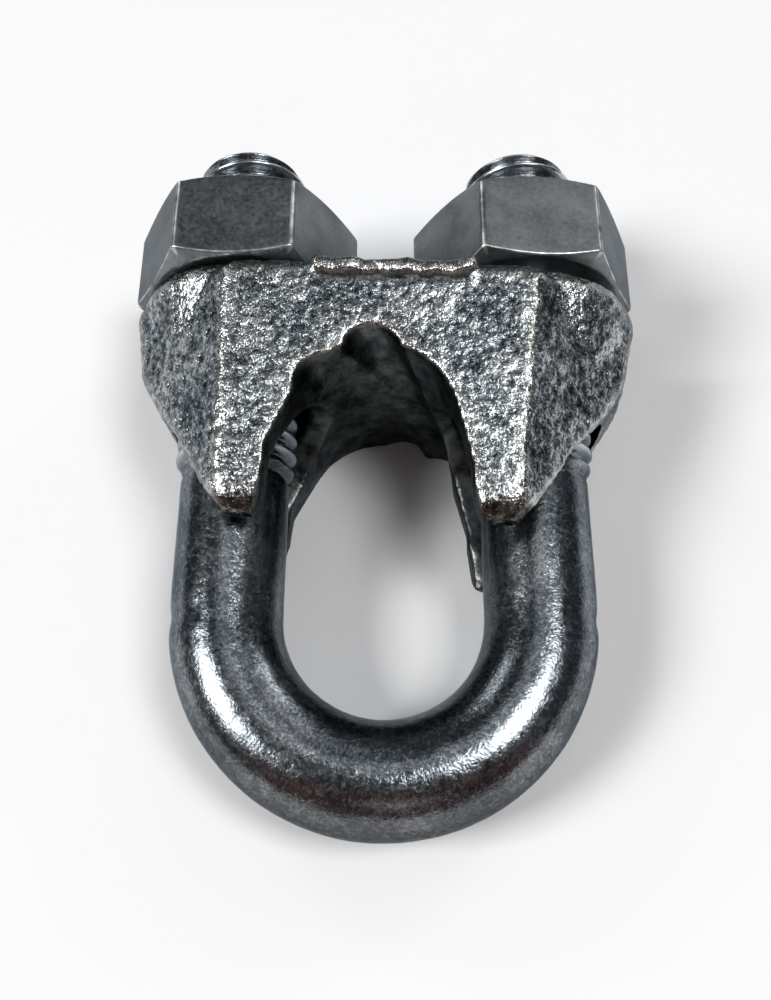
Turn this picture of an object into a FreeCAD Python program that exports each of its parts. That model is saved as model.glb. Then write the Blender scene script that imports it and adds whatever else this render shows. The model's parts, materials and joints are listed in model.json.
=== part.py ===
import FreeCAD, Part
import math
import os

from FreeCAD import Placement, Rotation, Vector

os.makedirs("parts", exist_ok=True)

# A wire rope clip for 13 mm rope: a U-bolt, a cast saddle that slides on its two legs, and a
# hexagon nut on each leg. Lengths are millimetres and angles are degrees.
# Every piece is drawn in the clip's own axes: X across the legs, Y along them towards the nuts,
# Z along the rope, with the origin at the centre of the U-bolt's bend. The last step lays the
# clip on its back, as it rests on a table.

X_AXIS = Vector(1, 0, 0)
Y_AXIS = Vector(0, 1, 0)
Z_AXIS = Vector(0, 0, 1)

# U-bolt: a round bar with rolled threads on both legs
LEG_SPACING = 24.5
BAR_DIAMETER = 8.8
LEG_LENGTH = 42.2
THREAD_BOTTOM = 11.5
THREAD_PITCH = 1.5
THREAD_CREST_RADIUS = 4.93
THREAD_ROOT_RADIUS = 4.10
THREAD_CREST_FLAT = 0.22
THREAD_RUNOUT = 1.2
THREAD_CLEAR = 0.1
RIDGE_SINK = 0.25
TIP_CHAMFER = 1.0

# Hexagon nuts, one turned a little further than the other
NUT_ACROSS_FLATS = 17.0
NUT_HEIGHT = 8.0
NUT_SEAT = 28.05
NUT_CHAMFER_ANGLE = 25.0
NUT_FACE_RADIUS = 8.2
NUT_CORNER_ROUND = 0.6
NUT_TURN_LEFT = 1.7
NUT_TURN_RIGHT = -3.7
NUT_BORE_RADIUS = 4.25
NUT_COUNTERSINK_RADIUS = 5.3
THREAD_GAP = 0.08
THREAD_TOP_GAP = 0.12

# Saddle casting, as (left, right) where its two sides differ
SADDLE_TOP = 26.95
SADDLE_PARTING = 25.6
CLAW_TIP = 4.2
FRONT_CLAW_SHORTER = 1.2
HALF_DEPTH_TOP = 8.9
TOP_CORNER_INSET = 0.8
HALF_DEPTH_PARTING = 10.2
FACE_DRAFT = 6.5
FACE_HALF_WIDTH_PARTING = 12.35
FACE_HALF_WIDTH_CLAW = (11.2, 11.0)
CLAW_HALF_WIDTH = (10.3, 10.5)
EYE_HALF_WIDTH = (21.4, 21.0)
EYE_TOP_INSET = 0.6
EYE_LOW_INSET = 1.1
EYE_LOW = 19.4
EYE_END_HALF_DEPTH = 2.6
BOSS_RADIUS = 9.0
BOSS_TOP_RADIUS = 8.4
BOSS_LOW_RADIUS = 6.5
BOSS_LOW = 19.0
CASTING_ROUND = 0.8
CLAW_NOSE_RADIUS = 2.2

# Openings in the saddle
LEG_BORE_RADIUS = 6.0
LEG_SLOT_HALF_WIDTH = 5.75
LEG_SLOT_TOP = 17.8
SEAT_RADIUS = 6.5
SEAT_CENTRE = 12.8
SEAT_OFFSET = -0.05
SEAT_FLARE = (24.0, 16.5)
SEAT_KNEE = (11.2, 10.0)
SEAT_MOUTH = (8.3, 8.25)
MOUTH_LOW = 1.2
STRAND_RADIUS = 2.2
STRAND_LAY = 17.0

# Each strand groove's angle from the top of the seat, and how far it cuts past the seat
STRANDS = [(-17.0, -0.15), (27.0, 0.6)]

# Flash left along the parting line, between the nuts on the front face
FLASH_LEFT = -5.6
FLASH_RIGHT = 7.6
FLASH_HEIGHT = 1.5
FLASH_STAND = 0.6
FLASH_SUNK = 0.6
FLASH_ROUND = 0.5

# The casting is loose on the legs, and sits a little turned and shifted
SADDLE_YAW = -3.0
SADDLE_ROLL = -3.0
SADDLE_SHIFT = 0.2

# Sizes for cutting shapes: one that reaches past everything, and one that just runs past a face
FAR = 60.0
PAST = 1.0

LEG_X = LEG_SPACING / 2
BAR_RADIUS = BAR_DIAMETER / 2
THREAD_FLANK = math.radians(30)


def y_cylinder(radius, low, high, x=0.0):
    """A cylinder along Y from low to high."""
    return Part.makeCylinder(radius, high - low, Vector(x, low, 0), Y_AXIS)


def y_revolve(profile):
    """The solid turned about the Y axis from a list of (radius, y) corners."""
    points = [Vector(radius, y, 0) for radius, y in profile]
    face = Part.Face(Part.makePolygon(points + points[:1]))
    return face.revolve(Vector(), Y_AXIS, 360)


def thread_ridge(crest_radius, root_radius, crest_flat, low, turns):
    """A right-handed thread ridge about the Y axis, with its root sunk below root_radius."""
    base_radius = root_radius - RIDGE_SINK
    half_crest = crest_flat / 2
    half_base = half_crest + (crest_radius - base_radius) * math.tan(THREAD_FLANK)
    corners = [
        Vector(base_radius, 0, -half_base),
        Vector(crest_radius, 0, -half_crest),
        Vector(crest_radius, 0, half_crest),
        Vector(base_radius, 0, half_base),
    ]
    profile = Part.makePolygon(corners + corners[:1])
    path = Part.makeHelix(THREAD_PITCH, THREAD_PITCH * turns, crest_radius)
    ridge = Part.Wire(path.Edges).makePipeShell([profile], True, True)
    ridge.rotate(Vector(), X_AXIS, -90)
    ridge.translate(Vector(0, low, 0))
    return ridge


def threaded_leg():
    """One leg's threaded length, about the Y axis."""
    low = THREAD_BOTTOM
    turns = math.ceil((LEG_LENGTH - low) / THREAD_PITCH) + 1
    ridge = thread_ridge(
        THREAD_CREST_RADIUS, THREAD_ROOT_RADIUS, THREAD_CREST_FLAT, low - THREAD_PITCH / 2, turns
    )
    core = y_cylinder(THREAD_ROOT_RADIUS, low - PAST, LEG_LENGTH)
    wide = THREAD_CREST_RADIUS + THREAD_CLEAR
    envelope = y_revolve([
        (0, low),
        (THREAD_ROOT_RADIUS, low),
        (wide, low + THREAD_RUNOUT),
        (wide, LEG_LENGTH - TIP_CHAMFER),
        (wide - TIP_CHAMFER, LEG_LENGTH),
        (0, LEG_LENGTH),
    ])
    return core.fuse(ridge).common(envelope)


def u_bolt():
    """The bent bar with a thread on each leg."""
    disc = Part.Face(Part.Wire(Part.makeCircle(BAR_RADIUS, Vector(LEG_X, 0, 0), Y_AXIS)))
    bend = disc.revolve(Vector(), Z_AXIS, -180)
    thread = threaded_leg()
    pieces = []
    for side in (-1, 1):
        pieces.append(y_cylinder(BAR_RADIUS, 0, THREAD_BOTTOM, side * LEG_X))
        leg = thread.copy()
        leg.translate(Vector(side * LEG_X, 0, 0))
        pieces.append(leg)
    return bend.fuse(pieces).removeSplitter()


def nut_blank():
    """A hexagon prism chamfered on both faces, about the Y axis, standing on y = 0."""
    corner_radius = NUT_ACROSS_FLATS / 2 / math.cos(math.radians(30))
    corners = []
    for k in range(6):
        angle = math.radians(60 * k)
        corners.append(Vector(corner_radius * math.cos(angle), 0, corner_radius * math.sin(angle)))
    prism = Part.Face(Part.makePolygon(corners + corners[:1])).extrude(Y_AXIS * NUT_HEIGHT)
    upright = [edge for edge in prism.Edges if edge.BoundBox.YLength > NUT_HEIGHT / 2]
    prism = prism.makeFillet(NUT_CORNER_ROUND, upright)
    wide = corner_radius + PAST
    drop = (wide - NUT_FACE_RADIUS) * math.tan(math.radians(NUT_CHAMFER_ANGLE))
    chamfers = y_revolve([
        (0, 0),
        (NUT_FACE_RADIUS, 0),
        (wide, drop),
        (wide, NUT_HEIGHT - drop),
        (NUT_FACE_RADIUS, NUT_HEIGHT),
        (0, NUT_HEIGHT),
    ])
    return prism.common(chamfers)


def nut(turn):
    """One nut about the Y axis at its place along the leg, in mesh with the leg's thread."""
    blank = nut_blank()
    blank.rotate(Vector(), Y_AXIS, turn)
    blank.translate(Vector(0, NUT_SEAT, 0))
    top = NUT_SEAT + NUT_HEIGHT
    widen = NUT_COUNTERSINK_RADIUS - NUT_BORE_RADIUS
    mouth = NUT_COUNTERSINK_RADIUS + PAST
    bore = y_revolve([
        (0, NUT_SEAT - PAST),
        (mouth, NUT_SEAT - PAST),
        (NUT_BORE_RADIUS, NUT_SEAT + widen),
        (NUT_BORE_RADIUS, top - widen),
        (mouth, top + PAST),
        (0, top + PAST),
    ])
    crest_radius = THREAD_CREST_RADIUS + THREAD_TOP_GAP
    narrowing = 2 * THREAD_TOP_GAP * math.tan(THREAD_FLANK)
    crest_flat = THREAD_CREST_FLAT + 2 * THREAD_GAP / math.cos(THREAD_FLANK) - narrowing
    skipped = math.floor((NUT_SEAT - THREAD_BOTTOM) / THREAD_PITCH) - 1
    low = THREAD_BOTTOM - THREAD_PITCH / 2 + skipped * THREAD_PITCH
    turns = math.ceil(NUT_HEIGHT / THREAD_PITCH) + 3
    groove = thread_ridge(crest_radius, NUT_BORE_RADIUS, crest_flat, low, turns)
    return blank.cut(bore).cut(groove)


def beyond(point, normal):
    """A large block filling the side of a plane that its normal points to."""
    block = Part.makeBox(2 * FAR, 2 * FAR, FAR, Vector(-FAR, -FAR, 0))
    block.Placement = Placement(point, Rotation(Z_AXIS, normal))
    return block


def half_depth(y):
    """Half the casting's depth at height y below the parting line."""
    return HALF_DEPTH_PARTING - (SADDLE_PARTING - y) * math.tan(math.radians(FACE_DRAFT))


def facets(side):
    """One quarter's flats, each as a point on it and two directions along it; side is 0 left, 1 right."""
    parting = Vector(FACE_HALF_WIDTH_PARTING, SADDLE_PARTING, HALF_DEPTH_PARTING)
    claw = Vector(FACE_HALF_WIDTH_CLAW[side], CLAW_TIP, half_depth(CLAW_TIP))
    top = Vector(FACE_HALF_WIDTH_PARTING - TOP_CORNER_INSET, SADDLE_TOP, HALF_DEPTH_TOP)
    eye = Vector(EYE_HALF_WIDTH[side], SADDLE_PARTING, EYE_END_HALF_DEPTH)
    eye_top = Vector(eye.x - EYE_TOP_INSET, SADDLE_TOP, EYE_END_HALF_DEPTH)
    eye_low = Vector(eye.x - EYE_LOW_INSET, EYE_LOW, EYE_END_HALF_DEPTH)
    claw_low = Vector(CLAW_HALF_WIDTH[side], CLAW_TIP, EYE_END_HALF_DEPTH)
    return [
        (parting, X_AXIS, Vector(0, claw.y - parting.y, claw.z - parting.z)),
        (parting, X_AXIS, Vector(0, top.y - parting.y, top.z - parting.z)),
        (parting, eye - parting, claw - parting),
        (parting, eye - parting, top - parting),
        (eye, Z_AXIS, eye_low - eye),
        (eye, Z_AXIS, eye_top - eye),
        (claw_low, Z_AXIS, eye_low - claw_low),
    ]


def plane_cutters():
    """The blocks that trim a box to the casting's facets, one for each flat."""
    inside = Vector(0, (SADDLE_TOP + CLAW_TIP) / 2, 0)
    cutters = []
    for side, x_sign in enumerate((-1, 1)):
        for point, along, across in facets(side):
            normal = along.cross(across).normalize()
            if normal.dot(point - inside) < 0:
                normal = -normal
            for z_sign in (1, -1):
                place = Vector(point.x * x_sign, point.y, point.z * z_sign)
                facing = Vector(normal.x * x_sign, normal.y, normal.z * z_sign)
                cutters.append(beyond(place, facing))
    return cutters


def claw_nose(z_sign, tip):
    """What to cut away past the tips of the front or back claws, to leave them a round nose."""
    radius = CLAW_NOSE_RADIUS
    rod_depth = half_depth(tip + radius) - radius
    low = min(0, z_sign * FAR)
    block = Part.makeBox(2 * FAR, FAR, FAR, Vector(-FAR, tip + radius - FAR, low))
    rod = Part.makeCylinder(radius, 2 * FAR, Vector(-FAR, tip + radius, z_sign * rod_depth), X_AXIS)
    inner = Part.makeBox(2 * FAR, radius, rod_depth, Vector(-FAR, tip, min(0, z_sign * rod_depth)))
    return block.cut([rod, inner])


def bosses():
    """The round flare under each nut, which swells out of the facets towards the parting line."""
    profile = [
        (0, BOSS_LOW),
        (BOSS_LOW_RADIUS, BOSS_LOW),
        (BOSS_RADIUS, SADDLE_PARTING),
        (BOSS_TOP_RADIUS, SADDLE_TOP),
        (0, SADDLE_TOP),
    ]
    flares = []
    for side in (-1, 1):
        flare = y_revolve(profile)
        flare.translate(Vector(side * LEG_X, 0, 0))
        flares.append(flare)
    return flares


def casting_outside():
    """The saddle before its openings: a faceted block, widest at the parting line."""
    height = SADDLE_TOP - CLAW_TIP
    corner = Vector(-EYE_HALF_WIDTH[0], CLAW_TIP, -HALF_DEPTH_PARTING)
    block = Part.makeBox(sum(EYE_HALF_WIDTH), height, 2 * HALF_DEPTH_PARTING, corner)
    for cutter in plane_cutters():
        block = block.cut(cutter)
    block = block.removeSplitter()
    block = block.makeFillet(CASTING_ROUND, block.Edges)
    noses = [claw_nose(1, CLAW_TIP + FRONT_CLAW_SHORTER), claw_nose(-1, CLAW_TIP)]
    return block.fuse(bosses()).cut(noses)


def channel_side(side):
    """One side of the rope channel, from the mouth up to where it meets the seat's arch."""
    lean = math.radians(SEAT_FLARE[side])
    top_x = SEAT_RADIUS * math.cos(lean)
    top_y = SEAT_CENTRE + SEAT_RADIUS * math.sin(lean)
    knee_x = top_x + (top_y - SEAT_KNEE[side]) * math.tan(lean)
    x_sign = (-1, 1)[side]
    return [
        Vector(x_sign * SEAT_MOUTH[side], MOUTH_LOW, -FAR),
        Vector(x_sign * knee_x, SEAT_KNEE[side], -FAR),
        Vector(x_sign * top_x, top_y, -FAR),
    ]


def rope_channel():
    """The seat for the rope: a round arch whose sides flare, then run nearly straight to the claws."""
    left, right = channel_side(0), channel_side(1)
    peak = Vector(0, SEAT_CENTRE + SEAT_RADIUS, -FAR)
    sides = Part.makePolygon(right[::-1] + left)
    edges = [Part.Arc(left[-1], peak, right[-1]).toShape()] + sides.Edges
    channel = Part.Face(Part.Wire(edges)).extrude(Z_AXIS * 2 * FAR)
    channel.translate(Vector(SEAT_OFFSET, 0, 0))
    return channel


def strand_groove(angle, depth):
    """A round groove in the seat that follows the lay of a strand, so it deepens to both mouths."""
    reach = SEAT_RADIUS + depth - STRAND_RADIUS
    groove = Part.makeCylinder(STRAND_RADIUS, 2 * FAR, Vector(0, 0, -FAR), Z_AXIS)
    groove.rotate(Vector(), Y_AXIS, -STRAND_LAY)
    groove.translate(Vector(0, reach, 0))
    groove.rotate(Vector(), Z_AXIS, -angle)
    groove.translate(Vector(SEAT_OFFSET, SEAT_CENTRE, 0))
    return groove


def leg_openings():
    """The two leg bores, and the slot between their axes that parts the front claws from the rear ones."""
    radius = LEG_SLOT_HALF_WIDTH
    arch = Part.makeCylinder(radius, 2 * LEG_X, Vector(-LEG_X, LEG_SLOT_TOP - radius, 0), X_AXIS)
    corner = Vector(-LEG_X, MOUTH_LOW, -radius)
    slot = Part.makeBox(2 * LEG_X, LEG_SLOT_TOP - radius - MOUTH_LOW, 2 * radius, corner)
    top = SADDLE_TOP + PAST
    bores = [y_cylinder(LEG_BORE_RADIUS, CLAW_TIP, top, side * LEG_X) for side in (-1, 1)]
    return [arch, slot] + bores


def flash():
    """The lip of flash on the front face, drawn as a rounded bar half sunk in the casting."""
    length = FLASH_RIGHT - FLASH_LEFT
    corner = Vector(FLASH_LEFT, SADDLE_PARTING - FLASH_HEIGHT / 2, HALF_DEPTH_PARTING - FLASH_SUNK)
    bar = Part.makeBox(length, FLASH_HEIGHT, FLASH_SUNK + FLASH_STAND, corner)
    return bar.makeFillet(FLASH_ROUND, bar.Edges)


def seated(shape):
    """Turn and shift a shape drawn square to the legs to the way that the casting sits on them."""
    shape.rotate(Vector(), Y_AXIS, SADDLE_YAW)
    shape.rotate(Vector(0, SADDLE_TOP, 0), Z_AXIS, SADDLE_ROLL)
    shape.translate(Vector(SADDLE_SHIFT, 0, 0))
    return shape


def saddle():
    """The casting with its openings, set on the legs as it sits."""
    body = casting_outside().fuse(flash())
    body = body.cut(rope_channel())
    for opening in leg_openings():
        body = body.cut(opening)
    for angle, depth in STRANDS:
        body = body.cut(strand_groove(angle, depth))
    return seated(body.removeSplitter())


def clip():
    """Every piece by its node name, in the clip's own axes."""
    left = nut(NUT_TURN_LEFT)
    left.translate(Vector(-LEG_X, 0, 0))
    right = nut(NUT_TURN_RIGHT)
    right.translate(Vector(LEG_X, 0, 0))
    return {"u_bolt": u_bolt(), "saddle": saddle(), "nut_left": left, "nut_right": right}


def lying(pieces):
    """The placement that lays the clip on the casting's back face, centred over the origin."""
    draft = math.radians(FACE_DRAFT)
    back = seated(Part.makeLine(Vector(), Vector(0, -math.sin(draft), -math.cos(draft))))
    down = back.Vertexes[1].Point - back.Vertexes[0].Point
    turned = Part.makeCompound(list(pieces.values()))
    turned.Placement = Placement(Vector(), Rotation(down, -Z_AXIS))
    box = turned.optimalBoundingBox(True, False)
    centre = Vector((box.XMin + box.XMax) / 2, (box.YMin + box.YMax) / 2, box.ZMin)
    return Placement(-centre, Rotation(down, -Z_AXIS))


if __name__ == "__main__":
    pieces = clip()
    placement = lying(pieces)
    for name, shape in pieces.items():
        shape.Placement = placement.multiply(shape.Placement)
        solids = shape.Solids
        print(name, "valid", shape.isValid(), "solids", len(solids), "volume", round(shape.Volume, 1))
        shape.exportStep(f"parts/{name}.step")
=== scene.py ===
import json
import math
import bpy
import numpy as np
from mathutils import Matrix, Vector, noise


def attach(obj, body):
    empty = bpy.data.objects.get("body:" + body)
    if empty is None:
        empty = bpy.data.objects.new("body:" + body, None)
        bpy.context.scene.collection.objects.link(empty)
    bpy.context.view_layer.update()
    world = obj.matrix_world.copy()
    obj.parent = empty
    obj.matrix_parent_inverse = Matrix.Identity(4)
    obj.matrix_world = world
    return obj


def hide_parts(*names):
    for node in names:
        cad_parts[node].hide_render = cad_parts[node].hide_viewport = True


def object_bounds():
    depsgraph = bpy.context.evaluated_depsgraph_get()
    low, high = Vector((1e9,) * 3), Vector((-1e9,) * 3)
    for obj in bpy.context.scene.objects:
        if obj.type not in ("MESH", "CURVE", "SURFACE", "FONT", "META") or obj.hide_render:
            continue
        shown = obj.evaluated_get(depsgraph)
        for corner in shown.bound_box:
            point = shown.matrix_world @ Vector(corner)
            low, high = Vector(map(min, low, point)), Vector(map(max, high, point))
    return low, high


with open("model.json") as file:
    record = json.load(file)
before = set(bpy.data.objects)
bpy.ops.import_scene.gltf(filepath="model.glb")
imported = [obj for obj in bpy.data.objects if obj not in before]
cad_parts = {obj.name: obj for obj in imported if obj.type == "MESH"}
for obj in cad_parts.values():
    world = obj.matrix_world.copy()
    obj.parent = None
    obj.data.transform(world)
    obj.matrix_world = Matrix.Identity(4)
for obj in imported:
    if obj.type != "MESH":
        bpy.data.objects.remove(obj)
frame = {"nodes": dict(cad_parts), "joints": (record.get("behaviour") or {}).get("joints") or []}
cad_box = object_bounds()

# A zinc-plated wire rope clip that lies on its back. Lengths are metres.
# Each piece is made in the clip's own axes: X across the legs, Y along them towards the nuts,
# Z along the rope, with the origin at the centre of the U-bolt's bend. CLIP carries those axes
# to the frame, and is worked out from the frame's joints.

MM = 0.001
NUT_SEAT = 28.05 * MM
NUT_HEIGHT = 8.0 * MM
BAR_RADIUS = 4.4 * MM
LEG_LENGTH = 42.2 * MM
THREAD_BOTTOM = 11.5 * MM
THREAD_PITCH = 1.5 * MM
THREAD_CREST = 4.93 * MM
THREAD_ROOT = 4.10 * MM
THREAD_CREST_FLAT = 0.22 * MM
THREAD_RUNOUT = 1.2 * MM
THREAD_FLANK = math.radians(30)
TIP_CHAMFER = 1.0 * MM

NUT_HALF_FLATS = 8.5 * MM
NUT_CORNER_ROUND = 0.6 * MM
NUT_FACE_RADIUS = 8.2 * MM
NUT_CHAMFER = math.radians(25)
NUT_EDGE_ROUND = 0.14 * MM
NUT_TURNS = {"nut_left": 1.7, "nut_right": -3.7}
NUT_THREAD_ROOT = 5.05 * MM
NUT_THREAD_LAND = 4.25 * MM
NUT_THREAD_FLAT = 0.266 * MM
NUT_COUNTERSINK = 5.3 * MM

joints = {joint["name"]: joint for joint in frame["joints"]}
LEG_AXIS = Vector(joints["saddle_slide"]["axis"]).normalized()
LEFT_LEG = Vector(joints["nut_left_turn"]["pos_m"])
RIGHT_LEG = Vector(joints["nut_right_turn"]["pos_m"])
ACROSS = (RIGHT_LEG - LEFT_LEG).normalized()
ROPE_AXIS = ACROSS.cross(LEG_AXIS)
LEG_X = (RIGHT_LEG - LEFT_LEG).length / 2
BEND_CENTRE = (LEFT_LEG + RIGHT_LEG) / 2 - LEG_AXIS * (NUT_SEAT + NUT_HEIGHT / 2)
CLIP = Matrix.Translation(BEND_CENTRE) @ Matrix((ACROSS, LEG_AXIS, ROPE_AXIS)).transposed().to_4x4()


# ---------------------------------------------------------------- mesh helpers

def grid_faces(rows, columns, first=0):
    """Quads between rows of a grid whose columns close on themselves."""
    faces = []
    for row in range(rows - 1):
        for column in range(columns):
            after = (column + 1) % columns
            low, high = first + row * columns, first + (row + 1) * columns
            faces.append((low + column, low + after, high + after, high + column))
    return faces


def add_piece(name, points, faces, attributes=None):
    """A smooth-shaded mesh object from points in the clip's axes."""
    mesh = bpy.data.meshes.new(name)
    mesh.from_pydata([CLIP @ Vector(point) for point in points], [], faces)
    mesh.update()
    mesh.shade_smooth()
    for key, values in (attributes or {}).items():
        layer = mesh.attributes.new(key, "FLOAT", "POINT")
        layer.data.foreach_set("value", np.asarray(values, dtype=np.float32))
    piece = bpy.data.objects.new(name, mesh)
    bpy.context.scene.collection.objects.link(piece)
    return piece


def thread_radius(angle, height, crest, root, crest_flat):
    """The radius of a thread at an angle about the leg and a height along it."""
    start = THREAD_BOTTOM - THREAD_PITCH / 2
    turn = (height - start) / THREAD_PITCH - angle / (2 * math.pi)
    off = abs(turn - round(turn)) * THREAD_PITCH
    drop = max(0.0, off - crest_flat / 2) / math.tan(THREAD_FLANK)
    return max(root, crest - drop)


def ripple(point, size, seed):
    """Smooth noise from -1 to 1 whose features are about size across."""
    return noise.noise(Vector(point) / size + Vector((seed, 2.3 * seed, 5.1 * seed)))


def ripples(point, waves):
    """The sum of several ripples, each given as its height, size and seed."""
    return sum(height * ripple(point, size, seed) for height, size, seed in waves)


# ---------------------------------------------------------------- the U-bolt

RING_POINTS = 96
BAR_STEP = 0.3 * MM
THREAD_STEP = THREAD_PITCH / 14
BAR_SKIN = ((0.045 * MM, 5 * MM, 1.0), (0.018 * MM, 0.9 * MM, 2.0), (0.010 * MM, 0.45 * MM, 3.0))
CREASE_DEPTH = 0.18 * MM
CREASE_HEIGHT = -0.4 * MM
CREASE_WIDTH = 0.8 * MM
# Painted shade: the outer underside of the bend is darkened in colour, and also made rougher.
DULL_SHADE_FROM = 0.55
DULL_SHADE_GAIN = 1.3
END_RINGS = (0.92, 0.7, 0.4)
END_WEAR = 0.3
END_SKIN = 0.05 * MM


def leg_heights():
    """Ring heights from the bend's end to the tip, closer together along the thread."""
    plain = np.arange(0, THREAD_BOTTOM - THREAD_STEP, BAR_STEP)
    threaded = np.arange(THREAD_BOTTOM, LEG_LENGTH, THREAD_STEP)
    return list(plain) + list(threaded) + [LEG_LENGTH]


def leg_radius(height, across, depth):
    """The leg's radius in the direction (across, depth) at this height."""
    if height < THREAD_BOTTOM:
        return BAR_RADIUS
    angle = math.atan2(-depth, across)
    radius = thread_radius(angle, height, THREAD_CREST, THREAD_ROOT, THREAD_CREST_FLAT)
    run_out = THREAD_ROOT + (height - THREAD_BOTTOM) * (THREAD_CREST - THREAD_ROOT) / THREAD_RUNOUT
    tip = THREAD_CREST - max(0.0, height - (LEG_LENGTH - TIP_CHAMFER))
    return min(radius, max(run_out, THREAD_ROOT), tip)


def bar_shape(point, outward):
    """How far the bar's forged skin stands off its round section at a point."""
    skin = ripples(point, BAR_SKIN)
    if outward <= 0.3:
        return skin
    crease = math.exp(-((point.y - CREASE_HEIGHT) / CREASE_WIDTH) ** 2)
    return skin - CREASE_DEPTH * crease * outward


def u_bolt_rings():
    """Each ring as its centre, its outward direction, its side (0 in the bend) and its height."""
    rings = []
    for height in reversed(leg_heights()):
        rings.append((Vector((-LEG_X, height, 0)), Vector((-1, 0, 0)), -1, height))
    bends = round(math.pi * LEG_X / BAR_STEP)
    for k in range(1, bends):
        angle = math.pi + math.pi * k / bends
        outward = Vector((math.cos(angle), math.sin(angle), 0))
        rings.append((outward * LEG_X, outward, 0, -1.0))
    for height in leg_heights():
        rings.append((Vector((LEG_X, height, 0)), Vector((1, 0, 0)), 1, height))
    return rings


def close_leg(points, faces, first, centre, outward):
    """A flat end over the ring that starts at first, made of smaller and smaller rings."""
    ring = points[first:first + RING_POINTS]
    previous = first
    for share in END_RINGS:
        start = len(points)
        for corner in ring:
            inner = centre + (corner - centre) * share
            inner.y += END_SKIN * ripple(inner, 1.2 * MM, 4.0)
            points.append(inner)
        for k in range(RING_POINTS):
            after = (k + 1) % RING_POINTS
            quad = (previous + k, previous + after, start + after, start + k)
            faces.append(quad[::-1] if outward else quad)
        previous = start
    points.append(centre)
    for k in range(RING_POINTS):
        after = (k + 1) % RING_POINTS
        triangle = (previous + k, previous + after, len(points) - 1)
        faces.append(triangle[::-1] if outward else triangle)


def make_u_bolt():
    """The bent bar with its rolled threads, closed by a flat end on each leg."""
    points = []
    worn = []
    dull_and_shade = []
    rings = u_bolt_rings()
    for centre, outward, side, height in rings:
        threaded = height >= THREAD_BOTTOM
        for k in range(RING_POINTS):
            angle = 2 * math.pi * k / RING_POINTS
            away = outward * math.cos(angle) + Vector((0, 0, math.sin(angle)))
            radius = leg_radius(height, away.x, away.z) if side else BAR_RADIUS
            point = centre + away * radius
            if not threaded:
                point = point + away * bar_shape(point, math.cos(angle))
            points.append(point)
            crest = (radius - THREAD_ROOT) / (THREAD_CREST - THREAD_ROOT)
            worn.append(crest ** 3 if threaded else 0.0)
            # Painted shade on the outer underside of the bend.
            under = max(0.0, -outward.y) * max(0.0, math.cos(angle) - DULL_SHADE_FROM) / (1 - DULL_SHADE_FROM)
            dull_and_shade.append(min(1.0, DULL_SHADE_GAIN * under))
    faces = grid_faces(len(rings), RING_POINTS)
    last = len(points) - RING_POINTS
    close_leg(points, faces, 0, rings[0][0], True)
    close_leg(points, faces, last, rings[-1][0], False)
    ends = len(points) - len(worn)
    worn += [END_WEAR] * ends
    dull_and_shade += [0.0] * ends
    return add_piece("u_bolt_bar", points, faces, {"worn": worn, "dull_and_shade": dull_and_shade})


# ---------------------------------------------------------------- the nuts

FLAT_STEPS = 26
CORNER_STEPS = 6
SIDE_STEPS = 24
EDGE_STEPS = 4
NUT_SKIN = 0.02 * MM
THREAD_ROWS = round(NUT_HEIGHT / (THREAD_PITCH / 12))
HALF_SIDE = math.radians(30)


def hexagon_outline():
    """The nut's rounded hexagon as (across, depth, wear), from a flat's start round to its end."""
    outline = []
    corner_centre = (NUT_HALF_FLATS - NUT_CORNER_ROUND) / math.cos(HALF_SIDE)
    half_flat = (NUT_HALF_FLATS - NUT_CORNER_ROUND) * math.tan(HALF_SIDE)
    for side in range(6):
        facing = HALF_SIDE * (2 * side + 1)
        normal = Vector((math.cos(facing), math.sin(facing)))
        along = Vector((-normal.y, normal.x))
        for k in range(1, FLAT_STEPS):
            spot = normal * NUT_HALF_FLATS + along * half_flat * (2 * k / FLAT_STEPS - 1)
            outline.append((spot.x, spot.y, 0.0))
        corner = Vector((math.cos(facing + HALF_SIDE), math.sin(facing + HALF_SIDE)))
        for k in range(CORNER_STEPS + 1):
            turned = facing + 2 * HALF_SIDE * k / CORNER_STEPS
            spot = corner * corner_centre
            spot += Vector((math.cos(turned), math.sin(turned))) * NUT_CORNER_ROUND
            outline.append((spot.x, spot.y, math.sin(math.pi * k / CORNER_STEPS)))
    return outline


def rounded(profile):
    """A chain of (radius, height) corners, each inner one rounded, as (radius, height, wear)."""
    out = [(*profile[0], 0.0)]
    for before, corner, after in zip(profile, profile[1:], profile[2:]):
        before, corner, after = Vector(before), Vector(corner), Vector(after)
        back, ahead = before - corner, after - corner
        reach = min(NUT_EDGE_ROUND, back.length * 0.45, ahead.length * 0.45)
        start = corner + back.normalized() * reach
        end = corner + ahead.normalized() * reach
        for k in range(EDGE_STEPS + 1):
            share = k / EDGE_STEPS
            spot = start * (1 - share) ** 2 + corner * 2 * share * (1 - share) + end * share ** 2
            out.append((spot.x, spot.y, math.sin(math.pi * share)))
    out.append((*profile[-1], 0.0))
    return out


def nut_column(across, depth, corner_wear):
    """One column of the nut's skin, from the bore's bottom over the outside to its top."""
    reach = math.hypot(across, depth)
    drop = (reach - NUT_FACE_RADIUS) * math.tan(NUT_CHAMFER)
    sink = NUT_COUNTERSINK - NUT_THREAD_LAND
    mouth = (NUT_THREAD_ROOT, sink * 0.25)
    lower = [mouth, (NUT_COUNTERSINK, 0.0), (NUT_FACE_RADIUS, 0.0), (reach, drop)]
    upper = [(radius, NUT_HEIGHT - height) for radius, height in reversed(lower)]
    chain = rounded(lower + upper)
    middle = len(chain) // 2
    low, high = chain[middle - 1][1], chain[middle][1]
    side = [(reach, low + (high - low) * k / SIDE_STEPS, 0.0) for k in range(1, SIDE_STEPS)]
    column = []
    for radius, height, wear in chain[:middle] + side + chain[middle:]:
        outside = radius > reach - NUT_EDGE_ROUND
        column.append((radius, height, max(wear, corner_wear) if outside else 0.0))
    return column


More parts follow.
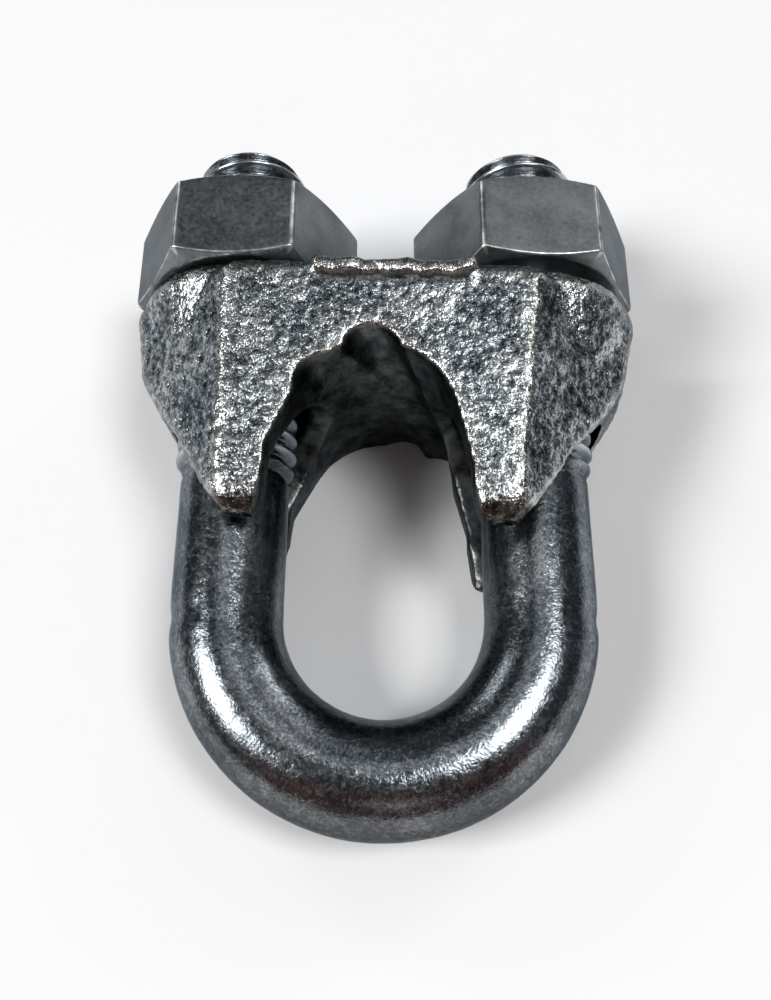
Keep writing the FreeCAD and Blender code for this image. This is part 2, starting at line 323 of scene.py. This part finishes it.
def make_nut(name, side):
    """A nut with chamfered faces, worn edges and the thread inside."""
    turn = math.radians(NUT_TURNS[name])
    columns = []
    for across, depth, wear in hexagon_outline():
        columns.append((math.atan2(depth, across) + turn, nut_column(across, depth, wear)))
    first_column = columns[0][1]
    bottom, top = first_column[0][1], first_column[-1][1]
    points = []
    worn = []
    for row in range(len(first_column)):
        for angle, column in columns:
            radius, height, wear = column[row]
            points.append(nut_point(side, angle, radius, height, wear < 0.05))
            worn.append(wear)
    for row in range(1, THREAD_ROWS):
        height = top + (bottom - top) * row / THREAD_ROWS
        cone = NUT_COUNTERSINK - min(max(height, 0.0), NUT_HEIGHT - height)
        for angle, _ in columns:
            thread = thread_radius(
                -angle, NUT_SEAT + height, NUT_THREAD_ROOT, NUT_THREAD_LAND, NUT_THREAD_FLAT
            )
            points.append(nut_point(side, angle, max(thread, cone), height, False))
            worn.append(0.0)
    count = len(columns)
    rows = len(first_column) + THREAD_ROWS - 1
    faces = grid_faces(rows, count)
    last = (rows - 1) * count
    for k in range(count):
        after = (k + 1) % count
        faces.append((last + k, last + after, after, k))
    faces = [face[::-1] for face in faces]
    return add_piece(name + "_hexagon", points, faces, {"worn": worn})


def nut_point(side, angle, radius, height, rough):
    """A point of the nut's skin, a little uneven where it isn't an edge."""
    away = Vector((math.cos(angle), 0, math.sin(angle)))
    point = Vector((side * LEG_X, NUT_SEAT + height, 0)) + away * radius
    if rough and radius > NUT_COUNTERSINK:
        point += away * NUT_SKIN * ripple(point, 1.6 * MM, 6.0)
    return point


# ---------------------------------------------------------------- the saddle

CAST_VOXEL = 0.22 * MM
SADDLE_TOP = 26.95 * MM
SADDLE_YAW = math.radians(-3)
SADDLE_ROLL = math.radians(-3)
SADDLE_SHIFT = 0.2 * MM
SEAT_CENTRE = 12.8 * MM
HALF_DEPTH_PARTING = 10.2 * MM
SLOT_HALF_WIDTH = 5.75 * MM
SLOT_TOP = 17.8 * MM
BORE_RADIUS = 6.0 * MM
FLASH_LEFT = -5.6 * MM
FLASH_RIGHT = 7.6 * MM
FLASH_LOW = 24.85 * MM
FLASH_WAVE = 0.30 * MM
FLASH_CURL = 0.45 * MM
CLAW_SOFT_FROM = 8.5 * MM
CLAW_SOFT_TO = 6.5 * MM
CLAW_WORN_FROM = 7.5 * MM
CLAW_WORN_TO = 6.7 * MM
EDGE_RELIEF = 0.030 * MM
SKIN_RELIEF = 0.1 * MM
CAST_SKIN = ((0.07 * MM, 3.4 * MM, 7.0), (0.065 * MM, 0.95 * MM, 8.0), (0.070 * MM, 0.50 * MM, 9.0))
PIT_DEPTH = 0.28 * MM
PIT_LIMIT = 0.55
SMALL = 1e-9

ABOUT_TOP = Matrix.Translation((0, SADDLE_TOP, 0))
SEATED = Matrix.Translation((SADDLE_SHIFT, 0, 0)) @ ABOUT_TOP @ Matrix.Rotation(SADDLE_ROLL, 4, "Z")
SEATED = CLIP @ SEATED @ ABOUT_TOP.inverted() @ Matrix.Rotation(SADDLE_YAW, 4, "Y")


def step(value, low, high):
    """0 below low, 1 above high, and smooth between. low may be the larger."""
    share = np.clip((value - low) / (high - low), 0, 1)
    return share * share * (3 - 2 * share)


def relaxed(points, edges, weights, rounds):
    """Each point moved towards the mean of its neighbours, round after round."""
    count = len(points)
    first, second = edges.T
    neighbours = np.bincount(edges.ravel(), minlength=count)
    for _ in range(rounds):
        total = [
            np.bincount(first, axis[second], count) + np.bincount(second, axis[first], count)
            for axis in points.T
        ]
        points = points + weights[:, None] * (np.array(total).T / neighbours[:, None] - points)
    return points


def read(mesh, items, key, width):
    """One value of every item of a mesh, as rows."""
    values = np.empty(len(items) * width, dtype=np.int32 if key == "vertices" else np.float32)
    items.foreach_get(key, values)
    return values.reshape(-1, width)


def moved_by(matrix, points, turn_only=False):
    """Points, or directions, carried by a matrix."""
    matrix = np.array(matrix)
    turned = points @ matrix[:3, :3].T
    return turned if turn_only else turned + matrix[:3, 3]


def set_points(mesh, points):
    """Gives a mesh its points, which are in the casting's own axes."""
    mesh.vertices.foreach_set("co", moved_by(SEATED, points).astype(np.float32).ravel())
    mesh.update()


def make_saddle():
    """The casting: the frame's saddle with soft edges, worn claws, ragged flash and a sandy skin."""
    node = frame["nodes"]["saddle"]
    piece = bpy.data.objects.new("saddle_casting", node.data.copy())
    bpy.context.scene.collection.objects.link(piece)
    remesh = piece.modifiers.new("skin", "REMESH")
    remesh.mode = "VOXEL"
    remesh.voxel_size = CAST_VOXEL
    wrap = piece.modifiers.new("wrap", "SHRINKWRAP")
    wrap.target = node
    wrap.wrap_method = "NEAREST_SURFACEPOINT"
    depsgraph = bpy.context.evaluated_depsgraph_get()
    mesh = bpy.data.meshes.new_from_object(piece.evaluated_get(depsgraph))
    piece.modifiers.clear()
    piece.data = mesh
    to_cast = SEATED.inverted()
    edges = read(mesh, mesh.edges, "vertices", 2)
    points = moved_by(to_cast, read(mesh, mesh.vertices, "co", 3).astype(float))
    everywhere = np.full(len(points), 0.5)
    points = relaxed(points, edges, everywhere, 6)
    claws = step(points[:, 1], CLAW_SOFT_FROM, CLAW_SOFT_TO)
    points = relaxed(points, edges, claws * 0.5, 70)
    soft = relaxed(points, edges, everywhere, 10)
    set_points(mesh, points)
    normals = read(mesh, mesh.vertex_normals, "vector", 3).astype(float)
    normals = moved_by(to_cast, normals, turn_only=True)
    masks = cast_masks(points, normals)
    # Painted highlight: the convex edges, where the skin stands above its smoothed copy, are
    # lightened in colour.
    edge = np.clip(((points - soft) * normals).sum(1) / EDGE_RELIEF, 0, 1)
    masks["edge"] = relaxed(edge[:, None], edges, everywhere, 6)[:, 0]
    # The crevice under the flash joins the openings' painted shade.
    masks["inside"] = np.maximum(masks["inside"], painted_shade_under_flash(points))
    points = ragged_flash(points)
    rough = 1 - 0.75 * np.maximum(masks["inside"], masks["tip"] * 0.6)
    heights = np.array([grain(Vector(point)) for point in points]) * rough
    points = points + normals * heights[:, None]
    masks["height"] = heights / SKIN_RELIEF
    set_points(mesh, points)
    for key, values in masks.items():
        layer = mesh.attributes.new(key, "FLOAT", "POINT")
        layer.data.foreach_set("value", values.astype(np.float32))
    mesh.shade_smooth()
    return piece


def facing_axis(normals, first, second, across, along):
    """How far points lie from an axis, and 1 where their normals face it."""
    reach = np.hypot(across, along) + SMALL
    inward = -(normals[:, first] * across + normals[:, second] * along) / reach
    return reach, step(inward, 0.35, 0.75)


def cast_masks(points, normals):
    """Where the casting is inside an opening, which gets painted shade, and where its claws are worn
    brown.
    """
    x, y, z = points.T
    reach, facing = facing_axis(normals, 0, 1, x, np.maximum(y - SEAT_CENTRE, 0))
    channel = facing * step(reach, 9.6 * MM, 9.0 * MM) * step(y, 22 * MM, 20 * MM)
    arch_centre = SLOT_TOP - SLOT_HALF_WIDTH
    reach, facing = facing_axis(normals, 2, 1, z, np.maximum(y - arch_centre, 0))
    outer = np.abs(x) - LEG_X
    slot = facing * step(reach, SLOT_HALF_WIDTH + 0.5 * MM, SLOT_HALF_WIDTH + 0.1 * MM)
    slot = slot * step(outer, 0.5 * MM, 0.0)
    reach, facing = facing_axis(normals, 0, 2, np.sign(x) * outer, z)
    bore = facing * step(reach, BORE_RADIUS + 0.5 * MM, BORE_RADIUS + 0.1 * MM)
    return {
        "inside": np.maximum(channel, np.maximum(slot, bore)),
        "tip": step(y, CLAW_WORN_FROM, CLAW_WORN_TO),
    }


def painted_shade_under_flash(points):
    """Painted shade in the crevice just below the flash."""
    x, y, z = points.T
    below = FLASH_LOW - y
    band = step(below, 0.60 * MM, 0.25 * MM) * step(below, -0.35 * MM, 0.0)
    inner = step(np.minimum(x - FLASH_LEFT, FLASH_RIGHT - x), 0.0, 1.2 * MM)
    return 0.9 * band * inner * step(z, 9.3 * MM, 9.7 * MM)


def ragged_flash(points):
    """The flash with wavy edges, and its ends turned up towards the nuts."""
    out = points.copy()
    front = step(points[:, 2], HALF_DEPTH_PARTING - 0.1 * MM, HALF_DEPTH_PARTING + 0.25 * MM)
    for k in np.nonzero(front > 0)[0]:
        x, y = points[k][:2]
        end = min(x - FLASH_LEFT, FLASH_RIGHT - x)
        curl = FLASH_CURL * (1 - float(step(end, -0.2 * MM, 2.2 * MM))) ** 1.5
        wave = FLASH_WAVE * noise.noise(Vector((x, y * 0.35, 0)) / (1.5 * MM) + Vector((11, 3, 7)))
        stand = FLASH_WAVE * noise.noise(Vector((x, 0, 0)) / (1.9 * MM) + Vector((5, 17, 2)))
        stand -= 0.08 * MM
        out[k] += np.array((0, curl + wave, stand)) * front[k]
    return out


def grain(point):
    """The height of the cast skin at a point."""
    pit = ripple(point, 1.1 * MM, 12.0)
    return ripples(point, CAST_SKIN) - PIT_DEPTH * max(0.0, pit - PIT_LIMIT)


# ---------------------------------------------------------------- materials

EDGE_TINT = (0.44, 0.47, 0.50, 1.0)


class Nodes:
    """A material's node tree, built with short calls."""

    def __init__(self, name):
        self.material = bpy.data.materials.new(name)
        self.material.use_nodes = True
        self.tree = self.material.node_tree
        self.tree.nodes.clear()
        self.shader = self.tree.nodes.new("ShaderNodeBsdfPrincipled")
        output = self.tree.nodes.new("ShaderNodeOutputMaterial")
        self.link(self.shader.outputs["BSDF"], output.inputs["Surface"])
        self.coordinates = self.tree.nodes.new("ShaderNodeTexCoord").outputs["Object"]

    def link(self, source, target):
        """Joins an output to an input."""
        self.tree.links.new(source, target)

    def give(self, value, slot):
        """Sets an input to a number or a colour, or links an output to it."""
        if isinstance(value, (int, float)):
            slot.default_value = value
        elif isinstance(value, tuple):
            slot.default_value = (*value, 1)
        else:
            self.link(value, slot)

    def set(self, **values):
        """Sets constants on the shader, with _ for each space in a name."""
        for key, value in values.items():
            self.shader.inputs[key.replace("_", " ")].default_value = value

    def noise(self, size, detail=3.0, roughness=0.55, distortion=0.0):
        """Noise whose features are about size metres across."""
        node = self.tree.nodes.new("ShaderNodeTexNoise")
        node.inputs["Scale"].default_value = 1.0 / size
        node.inputs["Detail"].default_value = detail
        node.inputs["Roughness"].default_value = roughness
        node.inputs["Distortion"].default_value = distortion
        self.link(self.coordinates, node.inputs["Vector"])
        return node.outputs["Fac"]

    def attribute(self, name):
        """A value that the mesh carries at each point."""
        node = self.tree.nodes.new("ShaderNodeAttribute")
        node.attribute_name = name
        return node.outputs["Fac"]

    def remap(self, value, low, high, to_low=0.0, to_high=1.0):
        """A value from low to high carried to the range from to_low to to_high."""
        node = self.tree.nodes.new("ShaderNodeMapRange")
        keys = ("From Min", "From Max", "To Min", "To Max")
        for key, number in zip(keys, (low, high, to_low, to_high)):
            node.inputs[key].default_value = number
        self.link(value, node.inputs["Value"])
        return node.outputs["Result"]

    def combine(self, operation, first, second):
        """One sum, difference or product of two values."""
        node = self.tree.nodes.new("ShaderNodeMath")
        node.operation = operation
        self.give(first, node.inputs[0])
        self.give(second, node.inputs[1])
        return node.outputs["Value"]

    def times(self, first, second):
        """The product of two values."""
        return self.combine("MULTIPLY", first, second)

    def weighed(self, *parts):
        """The sum of several values, each given with its share."""
        total = self.times(*parts[0])
        for value, share in parts[1:]:
            total = self.combine("ADD", total, self.times(value, share))
        return total

    def ramp(self, value, stops):
        """A colour ramp through (position, (r, g, b)) stops."""
        node = self.tree.nodes.new("ShaderNodeValToRGB")
        elements = node.color_ramp.elements
        elements[0].position, elements[0].color = stops[0][0], (*stops[0][1], 1)
        elements[1].position, elements[1].color = stops[-1][0], (*stops[-1][1], 1)
        for position, colour in stops[1:-1]:
            elements.new(position).color = (*colour, 1)
        self.link(value, node.inputs["Fac"])
        return node.outputs["Color"]

    def mix(self, share, first, second):
        """The first colour, passing to the second as the share rises to 1."""
        node = self.tree.nodes.new("ShaderNodeMix")
        node.data_type = "RGBA"
        self.give(share, node.inputs[0])
        self.give(first, node.inputs[6])
        self.give(second, node.inputs[7])
        return node.outputs[2]

    def bump(self, height, distance, strength=1.0, under=None):
        """A normal tilted by a height, over another bump if there is one."""
        node = self.tree.nodes.new("ShaderNodeBump")
        node.inputs["Strength"].default_value = strength
        node.inputs["Distance"].default_value = distance
        self.link(height, node.inputs["Height"])
        if under is not None:
            self.link(under, node.inputs["Normal"])
        return node.outputs["Normal"]

    def finish(self, colour, roughness, normal):
        """The finished material."""
        self.link(colour, self.shader.inputs["Base Color"])
        self.link(roughness, self.shader.inputs["Roughness"])
        self.link(normal, self.shader.inputs["Normal"])
        return self.material


def bar_zinc():
    """Bright zinc on a forged bar: fine scales and specks, and painted shade on the outer underside
    of the bend, which is also rougher.
    """
    n = Nodes("zinc_bar")
    n.set(Metallic=1.0, Specular_Tint=EDGE_TINT)
    broad = n.noise(6 * MM, 2.0)
    scales = n.noise(0.55 * MM, 4.0, 0.65, 1.2)
    specks = n.noise(0.20 * MM, 2.0)
    tone = n.weighed((broad, 0.30), (scales, 0.45), (specks, 0.25))
    dark, middle, pale = (0.08, 0.092, 0.105), (0.19, 0.21, 0.225), (0.38, 0.40, 0.415)
    colour = n.ramp(tone, [(0.39, dark), (0.50, middle), (0.61, pale)])
    colour = n.mix(n.attribute("worn"), colour, (0.56, 0.61, 0.64))
    # Painted shade: the outer underside of the bend is darkened and made rougher.
    dull_and_shade = n.times(n.attribute("dull_and_shade"), n.remap(scales, 0.35, 0.6, 1.0, 0.6))
    colour = n.mix(dull_and_shade, colour, (0.085, 0.083, 0.078))
    roughness = n.combine("ADD", n.remap(scales, 0.3, 0.7, 0.15, 0.27), n.times(dull_and_shade, 0.12))
    normal = n.bump(scales, 0.030 * MM, 0.6)
    normal = n.bump(specks, 0.022 * MM, 0.8, normal)
    return n.finish(colour, roughness, normal)


def cast_zinc():
    """Zinc over a sand-cast skin: bright grains on a dark blue-grey ground, with a painted highlight
    on the convex edges and painted shade inside the openings and under the flash.
    """
    n = Nodes("zinc_casting")
    n.set(Metallic=1.0, Specular_Tint=EDGE_TINT)
    broad = n.noise(5 * MM, 2.0)
    sand = n.noise(0.62 * MM, 3.0, 0.60)
    grains = n.noise(0.25 * MM, 2.0, 0.6)
    inside = n.attribute("inside")
    raised = n.remap(n.attribute("height"), -1.2, 1.2)
    tone = n.weighed((raised, 0.18), (sand, 0.42), (grains, 0.28), (broad, 0.12))
    dark, middle, pale = (0.036, 0.045, 0.053), (0.21, 0.232, 0.248), (0.64, 0.67, 0.68)
    colour = n.ramp(tone, [(0.40, dark), (0.49, middle), (0.57, pale)])
    # Painted highlight: the convex edges are lightened.
    colour = n.mix(n.times(n.attribute("edge"), 0.45), colour, (0.62, 0.60, 0.55))
    worn = n.times(n.attribute("tip"), n.remap(sand, 0.35, 0.60, 1.0, 0.70))
    colour = n.mix(worn, colour, (0.042, 0.037, 0.028))
    smears = n.remap(n.noise(1.6 * MM, 3.0, 0.6), 0.35, 0.65)
    # Painted shade: the openings and the crevice under the flash are darkened, with a smeared tone.
    colour = n.mix(inside, colour, n.mix(smears, (0.030, 0.036, 0.037), (0.150, 0.162, 0.158)))
    roughness = n.combine("ADD", n.remap(grains, 0.3, 0.7, 0.16, 0.30), n.times(inside, 0.12))
    keep = n.combine("SUBTRACT", 1.0, n.weighed((inside, 0.6), (worn, 0.4)))
    normal = n.bump(n.times(sand, keep), 0.135 * MM)
    normal = n.bump(n.times(grains, keep), 0.06 * MM, 1.0, normal)
    return n.finish(colour, roughness, normal)


def nut_zinc():
    """Dull zinc on the nuts' faces, rubbed bright along the edges."""
    n = Nodes("zinc_nut")
    n.set(Metallic=1.0, Specular_Tint=EDGE_TINT)
    broad = n.noise(4 * MM, 3.0, 0.6)
    fine = n.noise(0.35 * MM, 4.0, 0.6)
    tone = n.weighed((broad, 0.6), (fine, 0.4))
    colour = n.ramp(tone, [(0.35, (0.14, 0.150, 0.158)), (0.62, (0.275, 0.288, 0.295))])
    rubbed = n.remap(n.noise(1.8 * MM, 3.0, 0.6), 0.38, 0.58)
    worn = n.times(n.remap(n.attribute("worn"), 0.35, 0.9), rubbed)
    colour = n.mix(worn, colour, (0.70, 0.70, 0.68))
    roughness = n.remap(fine, 0.3, 0.7, 0.28, 0.42)
    normal = n.bump(fine, 0.012 * MM, 0.5)
    normal = n.bump(broad, 0.1 * MM, 0.3, normal)
    return n.finish(colour, roughness, normal)


def floor_paint():
    """The plain pale floor."""
    n = Nodes("floor")
    shade = n.noise(0.2, 1.0)
    colour = n.ramp(shade, [(0.0, (0.86, 0.86, 0.865)), (1.0, (0.90, 0.90, 0.90))])
    roughness = n.remap(shade, 0.0, 1.0, 0.85, 0.95)
    normal = n.bump(shade, 0.01 * MM, 0.1)
    return n.finish(colour, roughness, normal)


# ---------------------------------------------------------------- camera, lights and floor

CAMERA_LENS = 36.92
CAMERA_DISTANCE = 83.86 * MM
CAMERA_TILT = math.radians(22.24)
CAMERA_YAW = math.radians(-0.34)
CAMERA_ROLL = math.radians(0.17)
CAMERA_AIM = Vector((0.09 * MM, 10.06 * MM, 0))
LIGHT_DISTANCE = 2.5
ROOM_COLOUR = (0.070, 0.080, 0.090)
NEAR_COLOUR = (0.125, 0.070, 0.063)
BACKDROP_COLOUR = (0.86, 0.86, 0.865)
FLOOR_HALF_SIZE = 3.0


def add_camera():
    """A close camera over the bend that looks up the legs."""
    yaw = Matrix.Rotation(CAMERA_YAW, 4, "Y")
    tilt = Matrix.Rotation(CAMERA_TILT, 4, "X")
    roll = Matrix.Rotation(CAMERA_ROLL, 4, "Z")
    back = Matrix.Translation((0, 0, CAMERA_DISTANCE))
    camera = bpy.data.objects.new("camera", bpy.data.cameras.new("camera"))
    camera.data.lens = CAMERA_LENS
    camera.data.sensor_width = 36
    camera.data.sensor_fit = "AUTO"
    camera.data.clip_start = 0.005
    camera.matrix_world = CLIP @ Matrix.Translation(CAMERA_AIM) @ yaw @ tilt @ roll @ back
    bpy.context.scene.collection.objects.link(camera)
    bpy.context.scene.camera = camera


def add_light(name, direction, width, length, power):
    """A soft rectangular light in a direction given in the clip's axes, facing the clip."""
    data = bpy.data.lights.new(name, "AREA")
    data.shape = "RECTANGLE"
    data.size, data.size_y = width, length
    data.energy = power
    light = bpy.data.objects.new(name, data)
    facing = (CLIP.to_3x3() @ Vector(direction)).normalized()
    light.location = facing * LIGHT_DISTANCE
    light.rotation_euler = facing.to_track_quat("Z", "Y").to_euler()
    bpy.context.scene.collection.objects.link(light)


def add_room():
    """A dim blue-grey room, brown on the bend's side, that the camera sees as a pale backdrop."""
    world = bpy.data.worlds.new("room")
    world.use_nodes = True
    tree = world.node_tree
    background = tree.nodes["Background"]
    coordinates = tree.nodes.new("ShaderNodeTexCoord")
    separate = tree.nodes.new("ShaderNodeSeparateXYZ")
    near = tree.nodes.new("ShaderNodeMapRange")
    near.interpolation_type = "SMOOTHSTEP"
    near.inputs["From Min"].default_value = -0.25
    near.inputs["From Max"].default_value = -0.75
    mix = tree.nodes.new("ShaderNodeMix")
    mix.data_type = "RGBA"
    mix.inputs[6].default_value = (*ROOM_COLOUR, 1)
    mix.inputs[7].default_value = (*NEAR_COLOUR, 1)
    tree.links.new(coordinates.outputs["Generated"], separate.inputs["Vector"])
    tree.links.new(separate.outputs["Y"], near.inputs["Value"])
    tree.links.new(near.outputs["Result"], mix.inputs[0])
    seen = tree.nodes.new("ShaderNodeLightPath").outputs["Is Camera Ray"]
    backdrop = tree.nodes.new("ShaderNodeMix")
    backdrop.data_type = "RGBA"
    backdrop.inputs[7].default_value = (*BACKDROP_COLOUR, 1)
    tree.links.new(seen, backdrop.inputs[0])
    tree.links.new(mix.outputs[2], backdrop.inputs[6])
    tree.links.new(backdrop.outputs[2], background.inputs["Color"])
    bpy.context.scene.world = world


def add_stage():
    """The floor, the soft lights and the room."""
    half = FLOOR_HALF_SIZE
    corners = [(-half, -half, 0), (half, -half, 0), (half, half, 0), (-half, half, 0)]
    mesh = bpy.data.meshes.new("floor")
    mesh.from_pydata(corners, [], [(0, 1, 2, 3)])
    floor = bpy.data.objects.new("floor", mesh)
    floor.location.z = cad_box[0][2]
    bpy.context.scene.collection.objects.link(floor)
    floor.data.materials.append(floor_paint())
    add_light("key", (-0.70, -0.12, 0.69), 0.85, 0.85, 44)
    add_light("right", (0.36, 0.00, 0.93), 0.70, 0.90, 28)
    add_light("top", (-0.05, 0.30, 0.94), 1.0, 0.7, 2.0)
    add_light("far", (0.32, 0.62, 0.71), 1.2, 0.9, 2.6)
    add_light("far_left", (-0.58, 0.68, 0.45), 0.55, 0.55, 4.0)
    add_light("far_right", (0.58, 0.68, 0.45), 0.55, 0.55, 4.0)
    add_light("low", (0.10, -0.80, 0.58), 0.9, 0.35, 0.7)
    add_room()
    bpy.context.scene.view_settings.view_transform = "Standard"


# ---------------------------------------------------------------- the clip

def place(piece, body, node, material):
    """Rides a piece on its body in place of its node, with one material."""
    piece.data.materials.clear()
    piece.data.materials.append(material)
    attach(piece, body)
    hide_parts(node)


add_camera()
place(make_u_bolt(), "u_bolt", "u_bolt", bar_zinc())
place(make_saddle(), "saddle", "saddle", cast_zinc())
nut_finish = nut_zinc()
place(make_nut("nut_left", -1), "nut_left", "nut_left", nut_finish)
place(make_nut("nut_right", 1), "nut_right", "nut_right", nut_finish)
add_stage()
